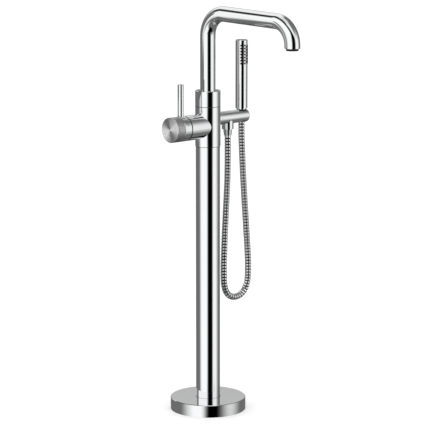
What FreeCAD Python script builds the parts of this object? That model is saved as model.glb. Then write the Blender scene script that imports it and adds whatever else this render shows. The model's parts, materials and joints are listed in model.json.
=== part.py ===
"""Floor standing bath filler: pillar, coaxial mixer barrel, swivel spout and hand shower.

Millimetres, +Z up.  The origin is on the floor, on the pillar's axis.  The spout points along -Y,
the control barrel along -X and the hand shower's holder arm along +X.
Every function below makes the pieces of one sub-assembly and saves each under its own name.
"""
import FreeCAD, Part
import math
import os

from FreeCAD import Placement, Rotation, Vector

os.makedirs("parts", exist_ok=True)

# ---- driving dimensions -------------------------------------------------------------------
# fits and gaps
slide_fit = 0.05          # radial clearance of a piece that turns or slides in another
seat_fit = 0.03           # radial clearance of a piece that is fixed in another
face_gap = 0.3            # gap between faces that pass each other
seam_height = 1.1         # dark joint lines of the pillar

# floor fixing
cover_d = 156.6
cover_height = 25.6
cover_wall = 2.2
cover_top = 3.0
cover_chamfer = 0.9
cover_pillar_gap = 0.8    # between the cover's hole and the pillar
cover_seal_height = 3.0
cover_seal_width = 3.0
gasket_t = 1.5
flange_cover_gap = 6.1    # between the flange's rim and the cover's wall
flange_t = 8.0
flange_edge = 1.0         # chamfer of the flange and of the socket's rim
floor_hole_d = 9.0
floor_hole_pcd = 100.0
floor_hole_count = 4
hub_height = 50.0         # of the socket that stands up inside the pillar
hub_wall = 4.0
foot_screw_d = 6.0
foot_screw_z = 15.0
foot_screw_count = 3

# water inlets inside the pillar's foot
inlet_r = 7.5             # G 3/8 thread, wall radius
inlet_length = 12.0
inlet_spacing = 18.6
manifold_length = 22.0
manifold_top_gap = 2.0    # from the hub's rim down to the manifold's top
supply_tube_d = 12.0
supply_tube_wall = 1.0
tube_socket_depth = 8.0

# pillar and valve body
pillar_d = 50.0
pillar_wall = 2.0
pillar_top_z = 555.25
body_d = 52.0
body_height = 81.3
body_spigot_length = 26.0
body_way_r = 3.5          # drilled hot and cold ways
cross_way_r = 3.1
way_below_axis = 12.8     # drop of the cross drillings below the barrel's axis
boss_inset = 0.375        # of the boss's radius, from half way between the spout's and the body's
boss_height = 14.0

# control barrel, measured outwards from the pillar's axis
barrel_z = 597.3
barrel_d = 51.5
barrel_setback = 2.5      # the barrel's axis lies this far behind the pillar's
barrel_end = 61.2
chamber_d = 42.0
chamber_floor = 14.0
seam_ring_t = 2.0
seam_ring_d = 48.6
lever_ring_t = 17.2
lever_ring_bore_r = 17.0
lever_ring_web_t = 8.0    # web that joins the ring to the mixing sleeve
knurl_length = 17.5
end_disc_t = 2.7
end_disc_chamfer = 0.6
knurl_count = 90
knurl_depth = 0.35
lever_pin_d = 12.5
lever_pin_top_z = 688.0
lever_pin_seat = 22.5     # height of the pin's seat above the barrel's axis
lever_pin_spigot_d = 8.0
lever_pin_spigot = 4.6
lever_pin_edge = 0.6
lever_screw_d = 4.0
lever_screw_angle = 65.0  # from the top of the ring towards the front
sleeve_r = 12.0
sleeve_bore_r = 8.0
spindle_r = 6.0
plug_r = 9.0
plug_length = 22.0
cartridge_bottom_t = 4.0
cartridge_length = 36.0
cartridge_wall = 4.9
disc_t = 3.4
disc_r = 15.8
port_r = 3.0
port_pitch_r = 11.5

# spout and its swivel
spout_d = 31.5
spout_wall = 1.6
spout_first_bend = 47.6
spout_second_bend = 45.6
spout_run_z = 829.4       # centre line where the first bend ends
spout_fall = 1.5          # degrees that the run falls towards the outlet
spout_reach = 244.8
spout_straight = 7.8      # straight end of the tube below the second bend
collar_height = 31.95
collar_top_t = 10.0
collar_chamfer = 0.8
swivel_spigot_r = 14.0
swivel_spigot_length = 30.0
swivel_flange_t = 4.0
swivel_stub = 16.0
aerator_lip_d = 24.6
aerator_lip = 1.7
aerator_bend_gap = 0.5    # between the aerator's top and the start of the bend
aerator_hole_r = 1.1
aerator_hole_pitch = 3.9

# holder arm and outlet for the hose
arm_z = 609.9
arm_d = 27.2
arm_end = 106.8
arm_edge = 2.4
arm_root_ring_length = 3.0    # out of the body's side
arm_root_gap = 0.4
nipple_r = 9.0
nipple_in_body = 12.0
nipple_in_arm = 13.0      # past the root ring
nipple_bore_r = 5.0
arm_way_past_nipple = 3.0     # from the nipple's inner end to the middle of the way up to it
outlet_x = 55.4
outlet_d = 24.5
outlet_bottom_z = 585.7
outlet_shank_r = 8.0
outlet_shank_top_z = 605.0
outlet_thread_r = 7.4
outlet_thread = 5.2
check_valve_r = 5.9
check_valve_length = 15.0
nut_length = 13.1
nut_top_r = 9.15
nut_bottom_r = 8.0
nut_lip = 4.0
ferrule_neck_r = 5.7
ferrule_flange_t = 2.2
ferrule_bore_r = 4.0
washer_t = 1.6

# handset in its holder
handset_x = 94.2
handset_d = 25.0
handset_wall = 1.2
handset_bottom_z = 626.0
handset_top_z = 768.0
handset_cap_t = 3.0
handset_neck_d = 20.4
handset_neck = 2.0
stem_r = 6.8
stem_length = 12.8
plug_into_tube = 12.0
socket_r = 10.0
liner_top_z = 623.7
liner_top_bore_r = 9.2
liner_bottom_bore_r = 8.0
cone_nut_length = 25.2
cone_nut_top_r = 8.9
cone_nut_bottom_r = 7.7
cone_nut_lip = 3.0
nozzle_rows = 13
nozzle_first_z = 719.5
nozzle_row_pitch = 3.1
nozzle_hole_r = 1.4
nozzle_r = 1.25
nozzle_stand_out = 0.6
strip_margin = 4.0        # of the nozzle strip past its first and last row
nozzle_angles = (-47.5, -9.5, 28.5)   # even rows; odd rows are mirrored

# hose: route of its centre line in the plane y = 0, as (x, z)
hose_d = 13.0
hose_bore_r = 4.6
hose_rib_depth = 0.9
hose_rib_pitch = 6.0
rib_crest = 0.5           # share of the pitch at the full diameter
rib_flank = 0.12          # share of the pitch of each slope down to the groove
hose_route = [
    (55.4, 536.0), (51.4, 476.0), (48.2, 400.0), (45.8, 336.0), (44.4, 292.0), (44.6, 247.5),
    (64.6, 226.8), (93.6, 227.0), (114.0, 247.6), (115.4, 292.0), (114.2, 350.0), (110.0, 416.0),
    (104.2, 480.0), (98.0, 538.0),
]
hose_last_bend_z = 570.0

# ---- sizes worked out from the ones above --------------------------------------------------
pillar_r = pillar_d / 2
pillar_bore_r = pillar_r - pillar_wall
body_r = body_d / 2
barrel_r = barrel_d / 2
spout_r = spout_d / 2
spout_bore_r = spout_r - spout_wall
arm_r = arm_d / 2
handset_r = handset_d / 2
handset_bore_r = handset_r - handset_wall
chamber_r = chamber_d / 2
boss_r = (body_r + spout_r) / 2 - boss_inset

flange_r = cover_d / 2 - cover_wall - flange_cover_gap
flange_top_z = gasket_t + flange_t
hub_top_z = flange_top_z + hub_height
hub_r = pillar_bore_r - seat_fit
hub_bore_r = hub_r - hub_wall
manifold_top_z = hub_top_z - manifold_top_gap
manifold_bottom_z = manifold_top_z - manifold_length
supply_tube_r = supply_tube_d / 2
supply_y = inlet_spacing / 2

body_bottom_z = pillar_top_z + seam_height
body_top_z = body_bottom_z + body_height
spigot_bottom_z = body_bottom_z - body_spigot_length
boss_top_z = body_top_z + boss_height
collar_bottom_z = body_top_z + seam_height
collar_top_z = collar_bottom_z + collar_height
collar_shoulder_z = collar_top_z - collar_top_t
swivel_washer_t = 0.8
swivel_flange_z = boss_top_z + swivel_washer_t
swivel_flange_top_z = swivel_flange_z + swivel_flange_t
swivel_flange_r = boss_r - 0.3
collar_chamber_r = boss_r + seat_fit

arm_root_ring_end = body_r + arm_root_ring_length
nipple_inner = body_r - nipple_in_body
nipple_outer = arm_root_ring_end + nipple_in_arm
arm_way_x = nipple_inner + arm_way_past_nipple

seam_ring_end = barrel_end + seam_ring_t
lever_start = seam_ring_end + face_gap
lever_end = lever_start + lever_ring_t
knob_start = lever_end + face_gap
knurl_end = knob_start + knurl_length
knob_end = knurl_end + end_disc_t
lever_mid = (lever_start + lever_end) / 2


def save(name, shape):
    """Write one piece, or one group of like pieces, as a STEP file of its own."""
    shape.exportStep("parts/" + name + ".step")


def rod(radius, low, high, x=0.0, y=0.0):
    """Upright solid cylinder between two heights."""
    return Part.makeCylinder(radius, high - low, Vector(x, y, low))


def tube(radius, bore, low, high, x=0.0, y=0.0):
    """Upright hollow cylinder."""
    return rod(radius, low, high, x, y).cut(rod(bore, low - 1, high + 1, x, y))


def turned(outline):
    """Solid of revolution about Z through (radius, height) corners."""
    corners = [Vector(radius, 0, height) for radius, height in outline]
    face = Part.Face(Part.makePolygon(corners + corners[:1]))
    return face.revolve(Vector(0, 0, 0), Vector(0, 0, 1), 360)


def moved(shape, x=0.0, y=0.0, z=0.0):
    """Copy of a shape, shifted."""
    copy = shape.copy()
    copy.translate(Vector(x, y, z))
    return copy


def on_barrel(shape):
    """Lay an upright shape along the barrel: its +Z becomes -X, its +X becomes +Z."""
    lay = Placement(Vector(0, barrel_setback, barrel_z), Rotation(Vector(0, 1, 0), -90))
    return placed(shape, lay)


def on_arm(shape):
    """Lay an upright shape along the arm: its +Z becomes +X, its +X becomes -Z."""
    return placed(shape, Placement(Vector(0, 0, arm_z), Rotation(Vector(0, 1, 0), 90)))


def placed(shape, placement):
    """Copy of a shape under a placement."""
    copy = shape.copy()
    copy.Placement = placement.multiply(copy.Placement)
    return copy


def round_ring(ring_r, wire_r, height):
    """Rubber O-ring about Z, with an eight-sided section inside its wire's circle."""
    turns = [math.radians(45 * side) for side in range(8)]
    return turned([(ring_r + wire_r * math.cos(turn), height + wire_r * math.sin(turn)) for turn in turns])


def circled(piece, count, first_angle=0.0):
    """Copies of a piece about the Z axis, as a list."""
    turns = [first_angle + 360.0 * index / count for index in range(count)]
    copies = []
    for turn in turns:
        copy = piece.copy()
        copy.rotate(Vector(0, 0, 0), Vector(0, 0, 1), turn)
        copies.append(copy)
    return copies


def cut_all(shape, tools):
    """Cut a list of tools out of a shape."""
    for tool in tools:
        shape = shape.cut(tool)
    return shape


# ---- floor fixing ---------------------------------------------------------------------------
def floor_fixing():
    """Gasket, bolted flange with its welded socket, lift-up cover, screws of the pillar's foot."""
    hole = rod(floor_hole_d / 2, -1, flange_top_z + 1, x=floor_hole_pcd / 2)
    holes = circled(hole, floor_hole_count, 45)
    gasket = tube(flange_r, hub_bore_r, 0, gasket_t)
    save("floor_gasket", cut_all(gasket, holes))

    screw_hole_r = foot_screw_d / 2 + seat_fit
    hub_hole = Part.makeCylinder(screw_hole_r, pillar_r, Vector(0, 0, foot_screw_z + gasket_t),
                                 Vector(1, 0, 0))
    screw_holes = circled(hub_hole, foot_screw_count, 30)
    flange = turned([
        (hub_bore_r, gasket_t), (flange_r, gasket_t), (flange_r, flange_top_z - flange_edge),
        (flange_r - flange_edge, flange_top_z), (hub_bore_r, flange_top_z),
    ])
    save("floor_flange", cut_all(flange, holes))
    socket = turned([
        (hub_bore_r, flange_top_z), (hub_r, flange_top_z), (hub_r, hub_top_z - flange_edge),
        (hub_r - flange_edge, hub_top_z), (hub_bore_r, hub_top_z),
    ])
    save("pillar_socket", cut_all(socket, screw_holes))

    screw = Part.makeCylinder(foot_screw_d / 2, pillar_r - hub_bore_r - 0.3,
                              Vector(hub_bore_r + 0.2, 0, foot_screw_z + gasket_t), Vector(1, 0, 0))
    save("pillar_screws", Part.makeCompound(circled(screw, foot_screw_count, 30)))

    pillar = tube(pillar_r, pillar_bore_r, flange_top_z, pillar_top_z)
    save("pillar_tube", cut_all(pillar, screw_holes))

    cover_r = cover_d / 2
    cover_hole_r = pillar_r + cover_pillar_gap
    under_top_z = cover_height - cover_top
    cover = turned([
        (cover_r - cover_wall, 0), (cover_r, 0), (cover_r, cover_height - cover_chamfer),
        (cover_r - cover_chamfer, cover_height), (cover_hole_r, cover_height),
        (cover_hole_r, under_top_z), (cover_r - cover_wall, under_top_z),
    ])
    save("base_cover", cover)
    seal = tube(pillar_r + slide_fit + cover_seal_width, pillar_r + slide_fit,
                under_top_z - cover_seal_height, under_top_z)
    save("cover_seal", seal)


# ---- supply -----------------------------------------------------------------------------------
def supply():
    """Threaded inlets in the foot, and the hot and cold tubes up to the valve body."""
    manifold = rod(hub_bore_r - seat_fit, manifold_bottom_z, manifold_top_z)
    socket_z = manifold_top_z - tube_socket_depth
    for side in (-1, 1):
        y = side * supply_y
        inlet_top_z = manifold_bottom_z + inlet_length
        manifold = manifold.cut(rod(inlet_r, manifold_bottom_z - 1, inlet_top_z, y=y))
        manifold = manifold.cut(rod(supply_tube_r - supply_tube_wall, inlet_top_z - 1, socket_z + 1, y=y))
        manifold = manifold.cut(rod(supply_tube_r + seat_fit, socket_z, manifold_top_z + 1, y=y))
    save("inlet_manifold", manifold)
    for name, side in (("hot_supply_tube", 1), ("cold_supply_tube", -1)):
        pipe = tube(supply_tube_r, supply_tube_r - supply_tube_wall, socket_z,
                    spigot_bottom_z + tube_socket_depth, y=side * supply_y)
        save(name, pipe)


# ---- valve body --------------------------------------------------------------------------------
def valve_body():
    """Body with its barrel in one casting, the drilled ways, and the rings of the joint lines."""
    spigot_r = pillar_bore_r - seat_fit
    body = rod(body_r, body_bottom_z, body_top_z)
    body = body.fuse(rod(spigot_r, spigot_bottom_z, body_bottom_z + 1))
    body = body.fuse(rod(boss_r, body_top_z - 1, boss_top_z))
    body = body.fuse(on_barrel(rod(barrel_r, 0, barrel_end)))
    ring_z = spigot_bottom_z + body_spigot_length / 2
    groove = tube(spigot_r + 1, spigot_r - 1.9, ring_z - 1.2, ring_z + 1.2)
    ways = [
        on_barrel(rod(chamber_r, chamber_floor, barrel_end + 1)),
        on_barrel(rod(plug_r + slide_fit, chamber_floor - plug_length, chamber_floor + 1)),
        on_barrel(rod(body_way_r, -arm_way_x, chamber_floor - plug_length + 1)),
        rod(body_way_r, barrel_z, arm_z, x=arm_way_x, y=barrel_setback),
        rod(swivel_spigot_r + slide_fit, boss_top_z - swivel_spigot_length - 1, boss_top_z + 1),
        rod(body_way_r * 2, barrel_z, boss_top_z - swivel_spigot_length),
        Part.makeCylinder(nipple_r + seat_fit, body_r, Vector(nipple_inner, 0, arm_z), Vector(1, 0, 0)),
        groove,
    ]
    cross_z = barrel_z - way_below_axis
    for side in (-1, 1):
        y = side * supply_y
        ways.append(rod(body_way_r, spigot_bottom_z - 1, cross_z, y=y))
        ways.append(rod(supply_tube_r + seat_fit, spigot_bottom_z - 1,
                        spigot_bottom_z + tube_socket_depth, y=y))
        ways.append(Part.makeCylinder(cross_way_r, chamber_floor + 1, Vector(0, y, cross_z),
                                      Vector(-1, 0, 0)))
    save("valve_body", cut_all(body, ways))
    save("spigot_o_ring", round_ring(spigot_r - 0.95, 0.9, ring_z))

    save("lower_seam_ring", tube(pillar_r - 0.7, spigot_r + seat_fit, pillar_top_z, body_bottom_z))
    save("upper_seam_ring", tube(body_r - 0.7, boss_r + seat_fit, body_top_z, collar_bottom_z))


# ---- mixing and flow control along the barrel ---------------------------------------------------
def three_ports(low, high):
    """Three round water ports at the same pitch radius."""
    return circled(rod(port_r, low, high, x=port_pitch_r), 3, 60)


def mixer():
    """Cartridge fixed in the chamber; sleeve, disc, ring and pin that turn to set the mix."""
    bottom = chamber_floor + 0.2
    top = bottom + cartridge_length
    shell_r = chamber_r - seat_fit
    inner_r = shell_r - cartridge_wall
    plate = bottom + cartridge_bottom_t
    lid = top - cartridge_bottom_t
    shell = turned([
        (plug_r, bottom), (shell_r, bottom), (shell_r, top), (sleeve_r + slide_fit, top),
        (sleeve_r + slide_fit, lid), (inner_r, lid), (inner_r, plate), (plug_r, plate),
    ])
    save("mixing_cartridge", on_barrel(cut_all(shell, three_ports(bottom - 1, plate + 1))))
    fixed = tube(disc_r, spindle_r + 0.5, plate, plate + disc_t)
    save("fixed_disc", on_barrel(cut_all(fixed, three_ports(plate - 1, plate + disc_t + 1))))
    nut = turned([
        (sleeve_r + 0.6, top), (shell_r, top), (shell_r, barrel_end - 1),
        (shell_r - 1, barrel_end), (sleeve_r + 0.6, barrel_end),
    ])
    save("cartridge_nut", on_barrel(nut))
    save("barrel_seam_ring", on_barrel(tube(seam_ring_d / 2, sleeve_r + 0.6, barrel_end, seam_ring_end)))

    moving_low = plate + disc_t + 0.05
    moving_high = moving_low + disc_t
    moving = tube(disc_r - 0.3, spindle_r + 0.5, moving_low, moving_high)
    moving = moving.cut(rod(port_r + 2, moving_low - 1, moving_low + 2, x=port_pitch_r - 2))
    save("moving_disc", on_barrel(moving))
    sleeve_end = lever_end - 1.6
    sleeve = turned([
        (sleeve_bore_r, moving_high), (disc_r - 0.3, moving_high), (disc_r - 0.3, moving_high + 4),
        (sleeve_r, moving_high + 4), (sleeve_r, sleeve_end), (sleeve_bore_r, sleeve_end),
    ])
    save("mixing_sleeve", on_barrel(sleeve))
    bush = tube(sleeve_bore_r - seat_fit, spindle_r + slide_fit, sleeve_end - 12, sleeve_end)
    save("spindle_bush", on_barrel(bush))

    web_low = lever_mid - lever_ring_web_t / 2
    web_high = lever_mid + lever_ring_web_t / 2
    ring = turned([
        (lever_ring_bore_r, lever_start), (barrel_r - 0.3, lever_start), (barrel_r, lever_start + 0.3),
        (barrel_r, lever_end - 0.3), (barrel_r - 0.3, lever_end), (lever_ring_bore_r, lever_end),
        (lever_ring_bore_r, web_high), (sleeve_r + seat_fit, web_high),
        (sleeve_r + seat_fit, web_low), (lever_ring_bore_r, web_low),
    ])
    pin_hole = Part.makeCylinder(lever_pin_d / 2 + seat_fit, barrel_r,
                                 Vector(lever_pin_seat, 0, lever_mid), Vector(1, 0, 0))
    spigot_hole = Part.makeCylinder(lever_pin_spigot_d / 2 + seat_fit, barrel_r,
                                    Vector(0, 0, lever_mid), Vector(1, 0, 0))
    ring = ring.cut(pin_hole).cut(spigot_hole.cut(rod(lever_ring_bore_r, lever_start, lever_end)))
    screw_low = 19.0
    screw_high = barrel_r - 0.5
    # in the upright frame the front of the barrel is -Y and its top is +X
    screw_way = Vector(math.cos(math.radians(lever_screw_angle)),
                       -math.sin(math.radians(lever_screw_angle)), 0)
    screw_from = Vector(0, 0, lever_mid) + screw_way * screw_low
    ring = ring.cut(Part.makeCylinder(lever_screw_d / 2 + seat_fit, barrel_r, screw_from, screw_way))
    save("lever_ring", on_barrel(ring))
    screw = Part.makeCylinder(lever_screw_d / 2, screw_high - screw_low, screw_from, screw_way)
    save("lever_screw", on_barrel(screw))

    pin_foot_z = barrel_z + lever_pin_seat
    pin_r = lever_pin_d / 2
    spigot_r = lever_pin_spigot_d / 2
    pin = turned([
        (0, pin_foot_z - lever_pin_spigot), (spigot_r, pin_foot_z - lever_pin_spigot),
        (spigot_r, pin_foot_z), (pin_r, pin_foot_z), (pin_r, lever_pin_top_z - lever_pin_edge),
        (pin_r - lever_pin_edge, lever_pin_top_z), (0, lever_pin_top_z),
    ])
    save("lever_pin", moved(pin, x=-lever_mid, y=barrel_setback))


def serrated(radius, depth, count, low, high):
    """Prism whose outline is a ring of V grooves."""
    corners = []
    for index in range(2 * count):
        angle = math.pi * index / count
        reach = radius - depth * (index % 2)
        corners.append(Vector(reach * math.cos(angle), reach * math.sin(angle), low))
    face = Part.Face(Part.makePolygon(corners + corners[:1]))
    return face.extrude(Vector(0, 0, high - low))


def flow_knob():
    """Knurled knob, its hub and end disc, and the spindle that turns the diverter plug."""
    grip_bore_r = barrel_r - 3.8
    grip = serrated(barrel_r, knurl_depth, knurl_count, knob_start, knurl_end)
    save("knurled_grip", on_barrel(grip.cut(rod(grip_bore_r, knob_start - 1, knurl_end + 1))))

    hub_r_outer = grip_bore_r - seat_fit
    recess = knurl_end - 5
    spindle_end = recess - 4
    hub = turned([
        (spindle_r + seat_fit, knob_start), (hub_r_outer, knob_start), (hub_r_outer, knurl_end),
        (5.0, knurl_end), (5.0, recess), (3.0, recess), (3.0, spindle_end),
        (spindle_r + seat_fit, spindle_end),
    ])
    save("knob_hub", on_barrel(hub))
    screw = turned([
        (0, spindle_end - 9), (2.5, spindle_end - 9), (2.5, recess), (4.6, recess),
        (4.6, recess + 3), (0, recess + 3),
    ])
    save("knob_screw", on_barrel(screw))
    disc = turned([
        (0, knurl_end), (barrel_r, knurl_end), (barrel_r, knob_end - end_disc_chamfer),
        (barrel_r - end_disc_chamfer, knob_end), (0, knob_end),
    ])
    save("knob_end_disc", on_barrel(disc))

    plug_high = chamber_floor + cartridge_bottom_t
    plug_low = chamber_floor - plug_length + 0.2
    plug = rod(plug_r - 0.02, plug_low, plug_high)
    plug = plug.cut(rod(4.5, plug_low - 1, plug_high - 8))
    port = Part.makeCylinder(4.5, plug_r + 1, Vector(0, 0, 0), Vector(1, 0, 0))
    save("diverter_plug", on_barrel(plug.cut(port)))
    spindle = rod(spindle_r, plug_high, spindle_end)
    save("flow_spindle", on_barrel(spindle.cut(rod(2.55, spindle_end - 10, spindle_end + 1))))


# ---- spout -----------------------------------------------------------------------------------
def spout_line():
    """Centre line of the spout: riser, first bend, falling run, second bend, outlet; and its end."""
    fall = math.radians(spout_fall)
    turn = math.pi / 2 + fall
    first = spout_first_bend
    second = spout_second_bend
    bend_z = spout_run_z - first * math.sin(turn)

    def point(out, height):
        return Vector(0, -out, height)

    def on_first(angle):
        return point(first - first * math.cos(angle), bend_z + first * math.sin(angle))

    run_start = on_first(turn)
    second_out = second * (1 + math.cos(turn))
    run_length = (spout_reach - second_out + run_start.y) / math.cos(fall)
    run_end = run_start + point(run_length * math.cos(fall), -run_length * math.sin(fall))

    def on_second(angle):
        out = -run_end.y + second * (math.cos(turn) - math.cos(angle))
        return point(out, run_end.z + second * (math.sin(angle) - math.sin(turn)))

    end = on_second(math.pi)
    outlet = end - Vector(0, 0, spout_straight)
    line = Part.Wire([
        Part.LineSegment(point(0, swivel_flange_top_z), point(0, bend_z)).toShape(),
        Part.Arc(point(0, bend_z), on_first(turn / 2), run_start).toShape(),
        Part.LineSegment(run_start, run_end).toShape(),
        Part.Arc(run_end, on_second((turn + math.pi) / 2), end).toShape(),
        Part.LineSegment(end, outlet).toShape(),
    ])
    return line, outlet


def spout():
    """Bent tube on a swivel tail, held down by the collar, with its aerator."""
    line, outlet = spout_line()

    def swept(radius):
        circle = Part.makeCircle(radius, Vector(0, 0, swivel_flange_top_z), Vector(0, 0, 1))
        return line.makePipeShell([Part.Wire(circle)], True, False)

    save("spout_tube", swept(spout_r).cut(swept(spout_bore_r)))

    tail_low = boss_top_z - swivel_spigot_length
    stub_r = spout_bore_r - seat_fit
    stub_top_z = swivel_flange_top_z + swivel_stub
    tail = turned([
        (10.5, tail_low), (swivel_spigot_r - 0.6, tail_low), (swivel_spigot_r, tail_low + 1),
        (swivel_spigot_r, swivel_flange_z), (swivel_flange_r, swivel_flange_z),
        (swivel_flange_r, swivel_flange_top_z), (stub_r, swivel_flange_top_z), (stub_r, stub_top_z),
        (10.5, stub_top_z),
    ])
    rings = []
    for ring_z in (tail_low + 5, tail_low + 11):
        tail = tail.cut(tube(swivel_spigot_r + 1, swivel_spigot_r - 1.9, ring_z - 1.1, ring_z + 1.1))
        rings.append(round_ring(swivel_spigot_r - 0.95, 0.9, ring_z))
    save("swivel_tail", tail)
    save("swivel_o_rings", Part.makeCompound(rings))
    save("swivel_washer", tube(swivel_flange_r, swivel_spigot_r + 0.3, boss_top_z, swivel_flange_z))

    bush_low = swivel_flange_top_z + 0.1
    save("swivel_bush", tube(swivel_flange_r, spout_r + 0.2, bush_low, collar_shoulder_z))
    collar = turned([
        (collar_chamber_r, collar_bottom_z), (body_r, collar_bottom_z),
        (body_r, collar_top_z - collar_chamfer), (body_r - collar_chamfer, collar_top_z),
        (spout_r + 0.2, collar_top_z), (spout_r + 0.2, collar_shoulder_z),
        (collar_chamber_r, collar_shoulder_z),
    ])
    screw_z = (collar_top_z + collar_shoulder_z) / 2
    screw_from = Vector(0, spout_r + 0.5, screw_z)
    screw = Part.makeCylinder(2, body_r - spout_r - 0.8, screw_from, Vector(0, 1, 0))
    hole = Part.makeCylinder(2 + seat_fit, body_r, screw_from, Vector(0, 1, 0))
    save("spout_collar", collar.cut(hole))
    save("collar_screw", screw)

    lip_r = aerator_lip_d / 2
    shell_r = spout_bore_r - seat_fit
    shell_top = spout_straight - aerator_bend_gap
    shell = turned([
        (lip_r - 1.2, -aerator_lip), (lip_r, -aerator_lip), (lip_r, 0), (lip_r, 0.6),
        (shell_r, 0.6), (shell_r, shell_top), (lip_r - 1.2, shell_top),
    ])
    save("aerator_shell", moved(shell, y=outlet.y, z=outlet.z))
    insert = rod(lip_r - 1.2 - seat_fit, -aerator_lip + 0.9, 4)
    for row in range(-2, 3):
        for column in range(-2, 3):
            x = aerator_hole_pitch * (column + row / 2)
            y = aerator_hole_pitch * row * math.sqrt(3) / 2
            if math.hypot(x, y) < lip_r - 1.2 - 2:
                insert = insert.cut(rod(aerator_hole_r, -aerator_lip, 5, x, y))
    save("aerator_insert", moved(insert, y=outlet.y, z=outlet.z))


# ---- holder arm ---------------------------------------------------------------------------------
def holder_arm():
    """Arm, its root ring, nipple and screws, the hose outlet, and the liner of the holder."""
    root = rod(arm_r, nipple_inner, arm_root_ring_end)
    root = root.cut(rod(nipple_r + seat_fit, nipple_inner - 1, arm_root_ring_end + 1))
    save("arm_root_ring", on_arm(root).cut(rod(body_r + seat_fit, body_bottom_z, body_top_z)))

    arm_start = arm_root_ring_end + arm_root_gap
    arm = turned([
        (0, arm_start), (arm_r - 0.6, arm_start), (arm_r, arm_start + 0.6), (arm_r, arm_end), (0, arm_end),
    ])
    rim = [edge for edge in arm.Edges if abs(edge.BoundBox.ZMin - arm_end) < 0.01
           and abs(edge.BoundBox.ZMax - arm_end) < 0.01 and edge.BoundBox.XMax > arm_r - 0.1]
    arm = on_arm(arm.makeFillet(arm_edge, rim))
    nipple_hole = rod(nipple_r + seat_fit, arm_start - 1, nipple_outer + 0.5)
    water_way = rod(nipple_bore_r, nipple_outer, outlet_x + nipple_bore_r)
    arm = arm.cut(on_arm(nipple_hole.fuse(water_way)))
    arm = arm.cut(rod(outlet_shank_r + seat_fit, arm_z - arm_r - 1, outlet_shank_top_z + 0.5, x=outlet_x))
    arm = arm.cut(rod(socket_r, arm_z - arm_r - 1, arm_z + arm_r + 1, x=handset_x))
    screw_x = (arm_start + nipple_outer) / 2
    screw_low = arm_z - arm_r + 0.4
    screw_high = arm_z - nipple_r - 0.05
    arm = arm.cut(rod(2 + seat_fit, arm_z - arm_r - 1, screw_high, x=screw_x))
    save("holder_arm", arm)
    save("arm_screw", rod(2, screw_low, screw_high, x=screw_x))

    nipple = tube(nipple_r, nipple_bore_r, nipple_inner + 0.2, nipple_outer)
    rings = []
    for ring_x in (nipple_inner + 5, nipple_outer - 4):
        nipple = nipple.cut(tube(nipple_r + 1, nipple_r - 1.4, ring_x - 0.9, ring_x + 0.9))
        rings.append(on_arm(round_ring(nipple_r - 0.7, 0.68, ring_x)))
    save("arm_nipple", on_arm(nipple))
    save("nipple_o_rings", Part.makeCompound(rings))

    thread_z = outlet_bottom_z - outlet_thread
    outlet = rod(outlet_d / 2, outlet_bottom_z, arm_z, x=outlet_x)
    outlet = outlet.cut(on_arm(rod(arm_r + seat_fit, outlet_x - outlet_d, outlet_x + outlet_d)))
    outlet = outlet.fuse(rod(outlet_shank_r, outlet_bottom_z, outlet_shank_top_z, x=outlet_x))
    outlet = outlet.fuse(rod(outlet_thread_r, thread_z, outlet_bottom_z + 1, x=outlet_x))
    valve_top = thread_z + 1 + check_valve_length
    outlet = outlet.cut(rod(check_valve_r + seat_fit, thread_z - 1, valve_top, x=outlet_x))
    outlet = outlet.cut(rod(ferrule_bore_r, thread_z, outlet_shank_top_z + 1, x=outlet_x))
    save("hose_outlet", outlet)
    valve = tube(check_valve_r, 3.6, valve_top - check_valve_length, valve_top - 0.1, x=outlet_x)
    cone = Part.makeCone(1.2, 3.2, 5, Vector(outlet_x, 0, thread_z + 6))
    spokes = Part.makeBox(2 * check_valve_r - 2, 1.4, 1.6,
                          Vector(outlet_x - check_valve_r + 1, -0.7, thread_z + 8))
    save("check_valve", valve.fuse(cone).fuse(spokes))

    liner_low = arm_z - arm_r + 1.4
    liner = turned([
        (liner_bottom_bore_r, liner_low), (socket_r - seat_fit, liner_low),
        (socket_r - seat_fit, liner_top_z), (liner_top_bore_r, liner_top_z),
    ])
    save("holder_liner", moved(liner, x=handset_x))


def outlet_nut():
    """Nut, ferrule and washer that hold the hose to the arm's outlet."""
    nut_top = outlet_bottom_z - 0.1
    nut_low = nut_top - nut_length
    lip_top = nut_low + nut_lip
    nut = turned([
        (ferrule_neck_r + seat_fit, nut_low), (nut_bottom_r, nut_low), (nut_top_r, nut_top),
        (outlet_thread_r + seat_fit, nut_top), (outlet_thread_r + seat_fit, lip_top),
        (ferrule_neck_r + seat_fit, lip_top),
    ])
    save("hose_nut", moved(nut, x=outlet_x))
    flange_low = lip_top + 0.05
    flange_top = flange_low + ferrule_flange_t
    ferrule = turned([
        (ferrule_bore_r, nut_low), (ferrule_neck_r, nut_low), (ferrule_neck_r, flange_low),
        (outlet_thread_r - 0.1, flange_low), (outlet_thread_r - 0.1, flange_top),
        (ferrule_bore_r, flange_top),
    ])
    save("outlet_ferrule", moved(ferrule, x=outlet_x))
    washer = tube(outlet_thread_r - 0.2, ferrule_bore_r, flange_top, outlet_bottom_z - outlet_thread,
                  x=outlet_x)
    save("outlet_washer", washer)
    return nut_low


# ---- handset -------------------------------------------------------------------------------------
def nozzle_grid():
    """Height and angle of every spray nozzle; odd rows mirror the even ones."""
    for row in range(nozzle_rows):
        for angle in nozzle_angles:
            yield nozzle_first_z + row * nozzle_row_pitch, angle if row % 2 == 0 else -angle


def spoke(radius, inner, outer, height, angle):
    """Rod that runs outwards from the Z axis; angle 0 points to the front, -Y."""
    way = Vector(math.sin(math.radians(angle)), -math.cos(math.radians(angle)), 0)
    return Part.makeCylinder(radius, outer - inner, way * inner + Vector(0, 0, height), way)


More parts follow.
